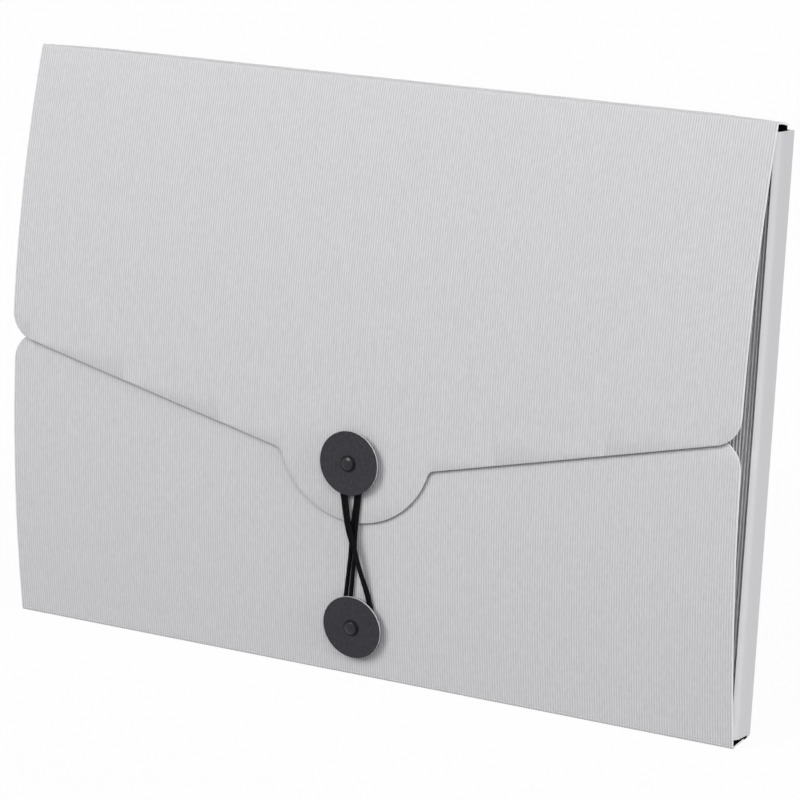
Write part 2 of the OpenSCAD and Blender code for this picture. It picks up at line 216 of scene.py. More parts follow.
def noise_on(tree, scale, stretch=(1, 1, 1), detail=3.0):
    """Noise over the piece's own coordinates, with scale in waves per metre."""
    place = tree.nodes.new("ShaderNodeTexCoord")
    turn = tree.nodes.new("ShaderNodeMapping")
    turn.inputs["Scale"].default_value = stretch
    tree.links.new(place.outputs["Object"], turn.inputs["Vector"])
    noise = linked(tree, "ShaderNodeTexNoise", Scale=scale, Detail=detail, Roughness=0.6)
    tree.links.new(turn.outputs[0], noise.inputs["Vector"])
    return noise.outputs["Fac"]


def along_axis(tree, axis):
    """One of the piece's own coordinates, in metres."""
    place = tree.nodes.new("ShaderNodeTexCoord")
    split = tree.nodes.new("ShaderNodeSeparateXYZ")
    tree.links.new(place.outputs["Object"], split.inputs[0])
    return split.outputs[axis]


def shade_between(tree, fac, dark, light, low=0.3, high=0.7):
    """A colour ramp from dark to light over part of a noise's range."""
    ramp = tree.nodes.new("ShaderNodeValToRGB")
    ramp.color_ramp.elements[0].position = low
    ramp.color_ramp.elements[0].color = (*dark, 1)
    ramp.color_ramp.elements[1].position = high
    ramp.color_ramp.elements[1].color = (*light, 1)
    tree.links.new(fac, ramp.inputs[0])
    return ramp.outputs[0]


def times(tree, first, second):
    """Two colours multiplied."""
    mix = tree.nodes.new("ShaderNodeMix")
    mix.data_type, mix.blend_type = "RGBA", "MULTIPLY"
    mix.inputs[0].default_value = 1.0
    tree.links.new(first, mix.inputs[6])
    tree.links.new(second, mix.inputs[7])
    return mix.outputs[2]


def tooth(tree, shader, fac, depth, strength=0.5):
    """A bump of that depth in metres from a noise."""
    bump = linked(tree, "ShaderNodeBump", Strength=strength, Distance=depth)
    tree.links.new(fac, bump.inputs["Height"])
    tree.links.new(bump.outputs[0], shader.inputs["Normal"])


def uneven_grey(tree, fac, value, swing, tint=CARD_TINT):
    """A near grey with a faint tint that swings about its value with a noise."""
    dark, light = ([value * (1 + s) * t for t in tint] for s in (-swing, swing))
    return shade_between(tree, fac, dark, light)


print("the card's tint:", CARD_TINT)

# %% [markdown]
# The cover's card is pressed into fine ribs. Less light gets into the valleys between them, so a cosine
# across the board darkens those, at the pitch of the ribs in the mesh. The pulp is a little cloudy, and
# noise stretched along the ribs breaks them up.

# %% Ribbed card
RIB_PITCH, VALLEY_LOSS = 1.07, 0.23
# The spine and bottom take the card a little darker than the rest: painted shade.
CARD, ACROSS_SHADE_SHARE, RIB_SHARE = 0.682, 0.96, 0.045
CLOUD_SCALE, CLOUD_SWING = 160.0, 0.006
STREAK_SCALE, STREAK_STRETCH = 1000.0, 0.36
TOOTH_SCALE, TOOTH_DEPTH = 2600.0, 0.02 * MM


def rib_valleys(tree):
    """One on the ribs' ridges, and less in the valleys between them."""
    phase, wave = tree.nodes.new("ShaderNodeMath"), tree.nodes.new("ShaderNodeMath")
    phase.operation, wave.operation = "MULTIPLY", "COSINE"
    phase.inputs[1].default_value = 2 * math.pi / (RIB_PITCH * MM)
    tree.links.new(along_axis(tree, "X"), phase.inputs[0])
    tree.links.new(phase.outputs[0], wave.inputs[0])
    valley = 1 - VALLEY_LOSS
    depth = linked(tree, "ShaderNodeMapRange", From_Min=-1.0, From_Max=1.0, To_Min=valley, To_Max=1.0)
    tree.links.new(wave.outputs[0], depth.inputs["Value"])
    return depth.outputs[0]


def card_finish(name, value, rib_axis):
    """Matt card: a cloudy pulp, darker valleys between the ribs, streaks along them, a fine tooth."""
    finish, tree, shader = new_finish(name, roughness=0.72, specular=0.25)
    cloud = uneven_grey(tree, noise_on(tree, CLOUD_SCALE), value, CLOUD_SWING)
    stretch = [STREAK_STRETCH if axis == rib_axis else 1.0 for axis in range(3)]
    streaks = noise_on(tree, STREAK_SCALE, stretch, detail=2.0)
    broken = shade_between(tree, streaks, (1 - RIB_SHARE,) * 3, (1 + RIB_SHARE,) * 3)
    ribbed = times(tree, broken, rib_valleys(tree))
    tree.links.new(times(tree, cloud, ribbed), shader.inputs["Base Color"])
    tooth(tree, shader, noise_on(tree, TOOTH_SCALE), TOOTH_DEPTH)
    return finish


cover = card_finish("ribbed_cover", CARD, rib_axis=2)
# Spine and bottom: the same card, with its colour darkened a little as painted shade.
cover_flat = card_finish("ribbed_cover_across", CARD * ACROSS_SHADE_SHARE, rib_axis=1)
print("ribbed finishes:", cover.name, cover_flat.name)

# %% [markdown]
# The other papers are plain: the board's white core and its black lining, the accordion's paper and
# its sheets. One helper makes them all, each a grey with a fleck of fibres that mostly run upright.

# %% Plain paper
PAPER_TINT, CORE_TINT = (1.0, 0.997, 1.02), (1, 1, 0.99)
FIBRE_STRETCH, FIBRE_DETAIL = (1, 1, 0.35), 4.0


def plain_paper(name, value, swing, scale, roughness, tint=PAPER_TINT):
    """Paper or board with a fine fleck of fibres."""
    finish, tree, shader = new_finish(name, roughness=roughness, specular=0.2)
    fleck = noise_on(tree, scale, FIBRE_STRETCH, FIBRE_DETAIL)
    tree.links.new(uneven_grey(tree, fleck, value, swing, tint), shader.inputs["Base Color"])
    tooth(tree, shader, fleck, TOOTH_DEPTH)
    return finish


core = plain_paper("white_core", value=0.95, swing=0.04, scale=2500.0, roughness=0.8, tint=CORE_TINT)
# The lining is near black; it is what keeps the gaps at the folder's ends dark.
lining = plain_paper("black_lining", value=0.008, swing=0.25, scale=900.0, roughness=0.6)
pleat_paper = plain_paper("pleat_paper", value=0.92, swing=0.03, scale=700.0, roughness=0.75)
sheet_paper = plain_paper("divider_paper", value=0.50, swing=0.02, scale=500.0, roughness=0.75)
UPRIGHT_BOARD, ACROSS_BOARD = (cover, core, lining), (cover_flat, core, lining)
print("paper finishes:", [m.name for m in (core, lining, pleat_paper, sheet_paper)])

# %% [markdown]
# The buttons are punched from dark board with a pale core. The rivets are lacquered black and the
# elastic has a woven cover. All three are dark, so they differ by gloss more than by colour.

# %% Finishes of buttons and elastic
BUTTON_TINT = (1.0, 0.97, 1.16)
DENT_SCALE, DENT_DEPTH, DENT_STRENGTH = 1500.0, 0.01 * MM, 0.2


def dark_finish(name, dark, light, scale, dented=False, **sheen):
    """A dark surface with a faint fleck and, on lacquer, shallow dents."""
    finish, tree, shader = new_finish(name, **sheen)
    fleck = shade_between(tree, noise_on(tree, scale), dark, light)
    tree.links.new(fleck, shader.inputs["Base Color"])
    if dented:
        tooth(tree, shader, noise_on(tree, DENT_SCALE), DENT_DEPTH, DENT_STRENGTH)
    return finish


button_face = plain_paper(
    "button_face", value=0.033, swing=0.3, scale=1800.0, roughness=0.62, tint=BUTTON_TINT
)
button_core = plain_paper("button_core", value=0.55, swing=0.08, scale=2500.0, roughness=0.8)
LACQUER = ((0.004, 0.004, 0.0045), (0.009, 0.009, 0.01))
GLOSS = ((0.004, 0.004, 0.008), (0.008, 0.008, 0.013))
STEEL = ((0.10, 0.10, 0.105), (0.16, 0.16, 0.165))
WOVEN = ((0.002, 0.002, 0.0024), (0.006, 0.006, 0.007))
rivet_black = dark_finish("rivet_lacquer", *LACQUER, 900.0, True, roughness=0.45, specular=0.1)
rivet_top = dark_finish("rivet_top", *GLOSS, 1500.0, True, roughness=0.22, specular=0.4)
washer_black = dark_finish("washer_steel", *STEEL, 600.0, roughness=0.4, specular=0.5, Metallic=0.7)
cord_black = dark_finish("woven_elastic", *WOVEN, 3000.0, roughness=0.75, specular=0.06)
print("dark finishes:", [m.name for m in (rivet_black, rivet_top, washer_black, cord_black)])

# %% [markdown]
# ## Sizes
# The boards follow the solids, so the script repeats the part's own sizes, in millimetres. Flap and
# panel are each one arc between their creases, and the spine is a small arc too.

# %% Sizes and arcs of the cover
COVER_W, COVER_H, CASE_D, BOARD = 330.0, 240.0, 15.0, 0.9
PANEL_BOW, FLAP_GAP = 12.1, 1.2
FLAP_BOW = PANEL_BOW + BOARD + FLAP_GAP
SPINE_DROP, SPINE_BOW, SPINE_TAPER = 1.9, 1.15, 2.2
SIDE_PROUD = 0.4
FRONT_Y, BACK_Y = -CASE_D / 2, CASE_D / 2
CASE_W = COVER_W + 2 * SIDE_PROUD
BACK_TOP = COVER_H - SPINE_DROP


class Arc:
    """An arc of a section across Y and Z: its centre and its outer radius."""

    def __init__(self, start, end, bow):
        start, end = Vector(start), Vector(end)
        half = (end - start).length / 2
        self.radius = (half * half + bow * bow) / (2 * bow)
        along = (end - start).normalized()
        inwards = Vector((along.y, -along.x))
        self.centre = (start + end) / 2 + inwards * (self.radius - bow)

    def at_z(self, z, depth):
        """The arc's front point at a height, that deep in the board."""
        r = self.radius - depth
        return Vector((self.centre.x - math.sqrt(r * r - (z - self.centre.y) ** 2), z))

    def on_line(self, start, direction, depth):
        """Where a line from a crease meets the arc that deep in the board."""
        offset, r = Vector(start) - self.centre, self.radius - depth
        b = offset.dot(direction)
        reach = -b - math.sqrt(b * b - offset.length_squared + r * r)
        return Vector(start) + direction * reach


FLAP_CREASE, SPINE_CREASE = (FRONT_Y, COVER_H), (BACK_Y, BACK_TOP)
PANEL_CREASE = (FRONT_Y, 0.0)
flap_arc = Arc(PANEL_CREASE, FLAP_CREASE, FLAP_BOW)
panel_arc = Arc(PANEL_CREASE, FLAP_CREASE, PANEL_BOW)
spine_arc = Arc(FLAP_CREASE, SPINE_CREASE, SPINE_BOW)
print("radii in mm:", [round(a.radius, 1) for a in (flap_arc, panel_arc, spine_arc)])

# %% [markdown]
# At a crease two boards meet on a mitre, half way between their directions. A mitre is a line of the
# section, and each layer of a board ends on it.

# %% Mitres
def pointing(degrees):
    """A unit vector of the section at an angle."""
    return Vector((math.cos(math.radians(degrees)), math.sin(math.radians(degrees))))


def leaning(arc, z):
    """How far the arc leans at a height, in degrees."""
    return math.degrees(math.asin((arc.centre.y - z) / arc.radius))


def along_mitre(mitre, board_angle, depth):
    """The step along a mitre to that depth in a board that leaves the crease at an angle."""
    return mitre * (depth / abs(mitre.cross(pointing(board_angle))))


spine_run = Vector(SPINE_CREASE) - Vector(FLAP_CREASE)
spine_slope = math.degrees(math.atan2(spine_run.y, spine_run.x))
spine_turn = math.degrees(math.asin(spine_run.length / 2 / spine_arc.radius))
flap_mitre = pointing((spine_slope + spine_turn - 90 - leaning(flap_arc, 0)) / 2)
spine_mitre = pointing((180 + spine_slope - spine_turn + 270) / 2)
panel_mitre = pointing((90 + leaning(panel_arc, 0)) / 2)
print("mitres:", [tuple(round(c, 3) for c in m) for m in (flap_mitre, spine_mitre, panel_mitre)])

# %% [markdown]
# ## How a board is made
# Each board starts as a flat outline. Planes slice it into fine columns, four to a rib, and into rows.
# A grid would be quicker, but it can't follow a round outline. The boards are the same on both sides,
# so only the right half is cut, and a mirror makes the other.

# %% Slicing a sheet
X_AXIS, Y_AXIS, Z_AXIS = Vector((1, 0, 0)), Vector((0, 1, 0)), Vector((0, 0, 1))
NEAR, MERGE = 1e-3, 1e-4
COLUMN = RIB_PITCH / 4


def slice_sheet(bm, axis, spots):
    """Cuts the sheet at each spot along an axis, each time beyond the last cut."""
    rest = list(bm.faces)
    for spot in spots:
        around = {v for f in rest for v in f.verts}
        edges = {e for f in rest for e in f.edges}
        cut = bmesh.ops.bisect_plane(
            bm, geom=[*rest, *edges, *around], dist=MERGE, plane_co=axis * spot, plane_no=axis
        )
        faces = [g for g in cut["geom"] if isinstance(g, bmesh.types.BMFace)]
        rest = [f for f in faces if f.calc_center_median().dot(axis) > spot]


def steps_between(low, high, count):
    """The inner marks of a run cut into equal steps."""
    return [low + (high - low) * i / count for i in range(1, count)]


def rib_columns(width):
    """Places of the columns on the right half of a board, four to a rib."""
    count = math.ceil(width / 2 / COLUMN)
    return [i * COLUMN for i in range(1, count) if i * COLUMN < width / 2 - NEAR]


def flat_sheet(corners):
    """A new bmesh with one flat face."""
    bm = bmesh.new()
    bm.faces.new([bm.verts.new(corner) for corner in corners])
    return bm


def cut_half(bm, width, axis, rows):
    """Cuts a half board into columns and rows, and mirrors it for the left half."""
    slice_sheet(bm, X_AXIS, rib_columns(width))
    slice_sheet(bm, axis, rows)
    everything = [*bm.verts, *bm.edges, *bm.faces]
    bmesh.ops.mirror(bm, geom=everything, merge_dist=MERGE, axis="X")


print("columns in half a board:", len(rib_columns(COVER_W)))

# %% [markdown]
# Three extrusions give a sheet its thickness: a grey face, a white core and a near-black lining, which also
# keeps the gaps at the folder's ends dark. Solidify would make one plain edge.

# %% Layers of a board
FACE, CORE, LINING = 0, 1, 2
LAYERS = ((0.05, FACE), (0.84, CORE), (BOARD, LINING))


def points_of(geom):
    """The vertices in what an operator made."""
    return [g for g in geom if isinstance(g, bmesh.types.BMVert)]


def thicken(bm, deep):
    """Extrudes the flat sheet along deep, once for each layer. Each wall takes its layer's finish."""
    cap = list(bm.faces)
    done = 0.0
    for depth, finish in LAYERS:
        before = set(bm.faces)
        made = bmesh.ops.extrude_face_region(bm, geom=cap)["geom"]
        bmesh.ops.translate(bm, verts=points_of(made), vec=deep * (depth - done))
        for face in set(bm.faces) - before:
            face.material_index = finish
        if done > 0:  # the sheet between two layers would stay inside the board
            bmesh.ops.delete(bm, geom=cap, context="FACES")
        cap = [g for g in made if isinstance(g, bmesh.types.BMFace)]
        done = depth


print("layers end at", [depth for depth, _ in LAYERS], "mm")

# %% [markdown]
# Only then is the board laid on its arc, and its columns are pushed in and out to press the ribs. Ribs
# of real shape catch the light from any side, which a painted stripe doesn't. The punch presses a
# narrow rim along each cut edge, and a fold has a round edge. All are dips that fade through the board.

# %% Ribs, rims and soft folds
RIB_DEPTH = 0.13
SOFT_REACH, SOFT_DEPTH, SOFT_ROWS = 1.1, 0.3, (0.15, 0.35, 0.6, 1.0)
RIM_WIDTH, RIM_DEPTH, SCORE_DEPTH = 0.3, 0.14, 0.2


def fading(depth):
    """One on the board's face, and nothing at its back."""
    return 1 - depth / BOARD


def rib_dip(x, depth):
    """How far a layer dips below a rib's ridge, at a place across the board."""
    return RIB_DEPTH * (1 - math.cos(2 * math.pi * x / RIB_PITCH)) / 2 * fading(depth)


def crease_dip(away, depth):
    """How far a fold's round edge lies inside its sharp corner, at some distance from the fold."""
    return SOFT_DEPTH * max(0.0, 1 - away / SOFT_REACH) ** 2 * fading(depth)


def near_crease(end, towards):
    """Marks of the extra rows that round a fold, from its edge into the board."""
    way = 1 if towards > end else -1
    return [end + way * SOFT_REACH * share for share in SOFT_ROWS]


def cut_sheet(bm, rows):
    """Fills a half outline, draws its rim, cuts it into columns and rows, and mirrors it."""
    bmesh.ops.edgeloop_fill(bm, edges=bm.edges)
    bmesh.ops.inset_region(
        bm, faces=bm.faces[:], thickness=RIM_WIDTH, use_boundary=True, use_even_offset=True
    )
    cut_half(bm, COVER_W, Z_AXIS, rows)


print("ribs:", RIB_DEPTH, "mm deep, soft folds:", SOFT_DEPTH, "mm")

# %% [markdown]
# One helper turns a bmesh into an object. Recalculating makes the faces agree, and the sign of the
# volume tells whether they point outwards. The piece then gets its finishes, the body it moves with,
# and the solids it stands for.

# %% Placing a piece
SHARP = 30.0


def place_piece(bm, name, body, finishes, stands_for=(), sharp=SHARP):
    """Turns a bmesh in millimetres into a finished piece that rides on its body."""
    bmesh.ops.recalc_face_normals(bm, faces=bm.faces)
    if bm.calc_volume(signed=True) < 0:
        bmesh.ops.reverse_faces(bm, faces=bm.faces)
    bmesh.ops.scale(bm, vec=(MM, MM, MM), verts=bm.verts)
    for face in bm.faces:
        face.smooth = True
    for edge in bm.edges:
        if edge.calc_face_angle(0.0) > math.radians(sharp):
            edge.smooth = False
    mesh = bpy.data.meshes.new(name)
    bm.to_mesh(mesh)
    bm.free()
    for finish in finishes:
        mesh.materials.append(finish)
    piece = bpy.data.objects.new(name, mesh)
    scene.collection.objects.link(piece)
    if body:
        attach(piece, body)
    if stands_for:
        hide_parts(*stands_for)
    print(f"{name}: {len(mesh.polygons)} faces on {body}")
    return piece


# %% [markdown]
# ## The flap
# The flap is the folder's face. Its lower edge slopes from round corners to a round tab, with a small
# fillet on each side of the tab. Spinning a vertex draws each arc of the outline exactly, where a bevel
# of a sharp outline would only come near the fitted radii.

# %% Flap outline
FLAP_CORNER_Z, FLAP_SLOPE = 121.0, math.radians(13)
TAB_R, TAB_LOW, FILLET_R, CORNER_R = 35.0, 65.0, 4.0, 12.0
TAB_STEPS, FILLET_STEPS, CORNER_STEPS = 36, 8, 14

rise = math.tan(FLAP_SLOPE)
edge_zero = FLAP_CORNER_Z - COVER_W / 2 * rise
tab_centre = Vector((0, 0, TAB_LOW + TAB_R))
drop = edge_zero - FILLET_R / math.cos(FLAP_SLOPE) - tab_centre.z
a, b, c = 1 + rise**2, rise * drop, drop**2 - (TAB_R + FILLET_R) ** 2
fillet_x = (-b + math.sqrt(b * b - a * c)) / a
fillet_centre = Vector((fillet_x, 0, tab_centre.z + drop + rise * fillet_x))
corner_x = COVER_W / 2 - CORNER_R
corner_z = edge_zero + rise * corner_x + CORNER_R / math.cos(FLAP_SLOPE)


def swing(bm, start, centre, degrees, steps):
    """Spins a vertex about a centre and returns the last one; positive is clockwise from the front."""
    made = bmesh.ops.spin(
        bm, geom=[start], cent=centre, axis=Y_AXIS, angle=math.radians(degrees), steps=steps
    )
    return points_of(made["geom_last"])[0]


def run_to(bm, start, x, z):
    """A straight edge of an outline to a new corner."""
    end = bm.verts.new((x, 0, z))
    bm.edges.new((start, end))
    return end


bm = bmesh.new()
first = bm.verts.new((0, 0, TAB_LOW))
to_fillet = fillet_centre - tab_centre
tab_turn = 90 + math.degrees(math.atan2(to_fillet.z, to_fillet.x))
fillet_turn = tab_turn - math.degrees(FLAP_SLOPE)
corner_turn = 90 - math.degrees(FLAP_SLOPE)
start_x = corner_x + CORNER_R * math.sin(FLAP_SLOPE)
start_z = corner_z - CORNER_R * math.cos(FLAP_SLOPE)
spot = swing(bm, first, tab_centre, -tab_turn, TAB_STEPS)
spot = swing(bm, spot, fillet_centre, fillet_turn, FILLET_STEPS)
spot = run_to(bm, spot, start_x, start_z)
spot = swing(bm, spot, (corner_x, 0, corner_z), -corner_turn, CORNER_STEPS)
spot = run_to(bm, spot, COVER_W / 2, COVER_H)
spot = run_to(bm, spot, 0, COVER_H)
bm.edges.new((spot, first))
turns = [round(turn, 1) for turn in (tab_turn, fillet_turn, corner_turn)]
print("flap outline:", len(bm.verts), "points, turns of", turns, "degrees")

# %% [markdown]
# The filled outline is cut, thickened and laid on the flap's arc. At the crease each layer ends on the
# mitre instead, so that flap and spine meet without a gap.

# %% Flap board
FLAP_ROWS, FLAP_ROWS_END = 16, COVER_H - 2


def bow_board(bm, arc, crease, mitre, score_z=None):
    """Thickens a flat sheet and lays it on its arc, with its ribs, rim, soft fold and score line."""
    rim = bm.verts.layers.float.new("rim")
    for vert in bm.verts:
        vert[rim] = float(vert.is_boundary and abs(vert.co.z - crease[1]) > NEAR)
    thicken(bm, Y_AXIS)
    for vert in bm.verts:
        x, depth, z = vert.co
        away = abs(z - crease[1])
        spot = arc.on_line(crease, mitre, depth) if away < NEAR else arc.at_z(z, depth)
        spot = spot + mitre * crease_dip(away, depth)
        dip = rib_dip(x, depth) + vert[rim] * RIM_DEPTH * fading(depth)
        if score_z and depth < MERGE and abs(z - score_z) < NEAR:
            dip += SCORE_DEPTH
        vert.co = (x, spot.x + dip, spot.y)
    bm.verts.layers.float.remove(rim)


cut_sheet(bm, steps_between(TAB_LOW, FLAP_ROWS_END, FLAP_ROWS) + sorted(near_crease(COVER_H, 0)))
bow_board(bm, flap_arc, FLAP_CREASE, flap_mitre)
place_piece(bm, "flap_board", "flap", UPRIGHT_BOARD, ["front_flap"])

# %% [markdown]
# ## The front panel
# The panel is half as high as the folder and lies under the flap. Its round upper corners show beside
# the flap's, and between them a small notch lets the pleats be seen. A fine score line runs along its
# foot, where the board was creased.

# %% Front panel
PANEL_RISE, PANEL_ROWS, PANEL_ROWS_FROM, PANEL_CORNER_STEPS = 0.5, 12, 3, 16
PANEL_TOP = FLAP_CORNER_Z + PANEL_RISE
SCORE_ROWS = [1.2, 1.4, 1.6]
bm = bmesh.new()
first = bm.verts.new((0, 0, 0))
spot = run_to(bm, first, COVER_W / 2, 0)
spot = run_to(bm, spot, COVER_W / 2, PANEL_TOP - CORNER_R)
spot = swing(bm, spot, (corner_x, 0, PANEL_TOP - CORNER_R), -90, PANEL_CORNER_STEPS)
spot = run_to(bm, spot, 0, PANEL_TOP)
bm.edges.new((spot, first))
rows = near_crease(0, PANEL_TOP) + SCORE_ROWS
cut_sheet(bm, rows + steps_between(PANEL_ROWS_FROM, PANEL_TOP, PANEL_ROWS))
bow_board(bm, panel_arc, PANEL_CREASE, panel_mitre, score_z=SCORE_ROWS[1])
place_piece(bm, "panel_board", "front", UPRIGHT_BOARD, ["front_panel"])

# %% [markdown]
# ## Spine, back and bottom
# These three are the same card, folded on from the flap: the ribs run over the creases without a step. Spine
# and bottom have its colour a little darker, as painted shade.
# The spine bows up a little, lies flatter towards its ends, and is cut back there towards the rear, so a
# dark gap shows at each end. It is cut on a unit depth first, and each row then turns along its arc.

# %% Spine
SPINE_ROWS, FLAT_FROM, FLAT_SHARE = 8, 125.0, 0.75


def angle_on(arc, crease):
    """The angle at which a crease lies on an arc."""
    away = Vector(crease) - arc.centre
    return math.atan2(away.y, away.x)


end_x = COVER_W / 2 - SPINE_TAPER
bm = flat_sheet([(0, 0, 0), (COVER_W / 2, 0, 0), (end_x, 1, 0), (0, 1, 0)])
spine_length = 2 * spine_arc.radius * math.radians(spine_turn)
front_rows = [r / spine_length for r in near_crease(0, 1)]
back_rows = [1 - r for r in reversed(front_rows)]
between = steps_between(front_rows[-1], back_rows[0], SPINE_ROWS)
cut_half(bm, COVER_W, Y_AXIS, front_rows + between + back_rows)
thicken(bm, -Z_AXIS)
start_angle, end_angle = angle_on(spine_arc, FLAP_CREASE), angle_on(spine_arc, SPINE_CREASE)
for vert in bm.verts:
    share, depth = vert.co.y, -vert.co.z
    angle = start_angle + (end_angle - start_angle) * share
    spot = spine_arc.centre + (spine_arc.radius - depth) * Vector((math.cos(angle), math.sin(angle)))
    towards_end = max(0.0, (abs(vert.co.x) - FLAT_FROM) / (COVER_W / 2 - FLAT_FROM))
    spot.y -= 4 * SPINE_BOW * share * (1 - share) * FLAT_SHARE * towards_end**2
    if depth > MERGE and share < NEAR:
        spot = Vector(FLAP_CREASE) + along_mitre(flap_mitre, spine_slope + spine_turn, depth)
    if depth > MERGE and share > 1 - NEAR:
        spot = Vector(SPINE_CREASE) + along_mitre(spine_mitre, spine_slope - spine_turn, depth)
    spot = spot + flap_mitre * crease_dip(share * spine_length, depth)
    spot = spot + spine_mitre * crease_dip((1 - share) * spine_length, depth)
    vert.co = (vert.co.x, spot.x, spot.y - rib_dip(vert.co.x, depth))
place_piece(bm, "spine_board", "spine", ACROSS_BOARD, ["top_spine"])

# %% [markdown]
# The back panel is flat. It is as wide as the case between the side walls' creases, and stepped in above
# and below them. Each layer is drawn in at the sides and at the foot, where the next board folds on.

# %% Back panel
SIDE_LOW, SIDE_TOP, BOTTOM_TAPER, BACK_ROWS = 2.5, BACK_TOP - 2.0, 2.0, 4
foot_x = COVER_W / 2 - BOTTOM_TAPER
corners = [(0, 0, 0), (foot_x, 0, 0), (CASE_W / 2, 0, SIDE_LOW), (CASE_W / 2, 0, SIDE_TOP)]
corners += [(end_x, 0, SIDE_TOP), (end_x, 0, BACK_TOP), (0, 0, BACK_TOP)]
bm = flat_sheet(corners)
cut_half(bm, CASE_W, Z_AXIS, steps_between(SIDE_LOW, SIDE_TOP, BACK_ROWS))
thicken(bm, -Y_AXIS)
for vert in bm.verts:
    x, depth, z = vert.co.x, -vert.co.y, vert.co.z
    if z > BACK_TOP - NEAR:
        z += along_mitre(spine_mitre, 90, depth).y
    z = max(z, depth)
    x = math.copysign(min(abs(x), CASE_W / 2 - depth), x)
    vert.co = (x, BACK_Y - depth - rib_dip(x, depth), z)
place_piece(bm, "back_board", "case", UPRIGHT_BOARD, ["back_panel"])

# %% [markdown]
# The bottom wall closes the case below. It is narrower at the back, and its front edge is the crease
# that the front panel opens on, so it has the same soft fold.

# %% Bottom wall
bm = flat_sheet([(0, FRONT_Y, 0), (COVER_W / 2, FRONT_Y, 0), (foot_x, BACK_Y, 0), (0, BACK_Y, 0)])
cut_half(bm, COVER_W, Y_AXIS, near_crease(FRONT_Y, BACK_Y))
thicken(bm, Z_AXIS)
for vert in bm.verts:
    x, y, depth = vert.co
    fold = panel_mitre * crease_dip(y - FRONT_Y, depth)
    if y < FRONT_Y + NEAR:
        y += panel_mitre.x * depth / panel_mitre.y
    if y > BACK_Y - NEAR:
        y -= depth
    vert.co = (x, y + fold.x, depth + fold.y + rib_dip(x, depth))
place_piece(bm, "bottom_board", "case", ACROSS_BOARD, ["bottom_wall"])

# %% [markdown]
# ## Side walls
# Each side is closed by a narrow smooth strip, folded forward from the back panel. Its free front edge curls
# in, which makes the bright band along it, and the card's colour is painted lighter over the curl, towards
# the front edge, as painted light. It is cut as a flat strip and then curled. The gusset's paper is glued to
# the inside.

# %% Finish of the side walls
LIP_R, LIP_ANGLE, LIP_GAP, LIP_STEPS = 4.2, math.radians(60), 1.55, 14
SMOOTH_CARD, SMOOTH_SWING, SMOOTH_SCALE = 0.64, 0.008, 500.0
# Painted light on the curl: how much lighter the card's colour is at the front edge, and how far inside the
# curl's start it has faded to plain card.
LIP_PAINTED_LIGHT, LIP_PLAIN = 1.23, 0.9
lip_front = FRONT_Y + LIP_GAP
lip_y = lip_front + LIP_R * math.sin(LIP_ANGLE)


def curl_card_with_painted_light(name):
    """Smooth card with painted light: its colour gets lighter over the curl, towards the strip's front edge.
    """
    finish, tree, shader = new_finish(name, roughness=0.6, specular=0.2)
    start, end = lip_front * MM, (lip_y - LIP_PLAIN) * MM
    # Painted light: the card's colour is lightest at the curl's front edge and fades to plain card over the
    # curl.
    pale = linked(
        tree, "ShaderNodeMapRange", From_Min=start, From_Max=end, To_Min=LIP_PAINTED_LIGHT, To_Max=1.0
    )
    tree.links.new(along_axis(tree, "Y"), pale.inputs["Value"])
    fibre = noise_on(tree, SMOOTH_SCALE, FIBRE_STRETCH, FIBRE_DETAIL)
    card = uneven_grey(tree, fibre, SMOOTH_CARD, SMOOTH_SWING)
    tree.links.new(times(tree, card, pale.outputs[0]), shader.inputs["Base Color"])
    tooth(tree, shader, fibre, TOOTH_DEPTH)
    return finish


strip_finishes = (curl_card_with_painted_light("smooth_strip"), core, pleat_paper)
print("the curl starts at", round(lip_y, 2), "mm")

# %% Side walls
STRIP_FOOT, STRIP_ROWS = 0.6, 4
SIDES = (("right", 1), ("left", -1))
strip_low = SIDE_LOW + STRIP_FOOT
flat_length = BACK_Y - lip_y
strip_length = flat_length + LIP_R * LIP_ANGLE

for side, hand in SIDES:
    corners = [(0, strip_low), (0, SIDE_TOP), (strip_length, SIDE_TOP), (strip_length, strip_low)]
    bm = flat_sheet([(0, along, z) for along, z in corners])
    slice_sheet(bm, Y_AXIS, [flat_length, *steps_between(flat_length, strip_length, LIP_STEPS)])
    slice_sheet(bm, Z_AXIS, steps_between(strip_low, SIDE_TOP, STRIP_ROWS))
    thicken(bm, -X_AXIS)
    for vert in bm.verts:
        depth, along, z = -vert.co.x, vert.co.y, vert.co.z
        angle = max(along - flat_length, 0.0) / LIP_R
        x = CASE_W / 2 - LIP_R + (LIP_R - depth) * math.cos(angle)
        y = BACK_Y - min(along, flat_length) - (LIP_R - depth) * math.sin(angle)
        if along < NEAR:
            y -= depth
        vert.co = (hand * x, y, z)
    place_piece(bm, f"{side}_strip", "case", strip_finishes, [f"{side}_side_wall"])

# %% [markdown]
# ## The accordion
# Each gusset is one sheet folded to and fro into ten pleats. Their outer folds are round and step inwards
# from the side strip, so each shows beside the one before it, and the paper curls forward at them. In
# plan the sheet is a chain of vertices with an arc at each fold.

# %% Plan of the pleats
FOLD_X, FIRST_TIP, TIP_STEP = 139.4, Vector((162.8, -4.1)), Vector((-1.2, -0.26))
PLEAT_BACK, PLEAT_PITCH, PLEATS = 6.275, 1.315, 10
TIP_ROUND, TIP_ROUND_LOSS, FOLD_ROUND, FOLD_POINTS = 0.25, 0.008, 0.16, 7
CURL_WAY, CURL_LENGTH, CURL_HALF = Vector((0.62, -0.78)).normalized(), 2.5, 0.13


def half_turn(centre, start, out):
    """Points of a half circle from start over the outward side."""
    side = start - centre
    angles = [math.pi * i / (FOLD_POINTS - 1) for i in range(FOLD_POINTS)]
    return [centre + side * math.cos(a) + out * side.length * math.sin(a) for a in angles]


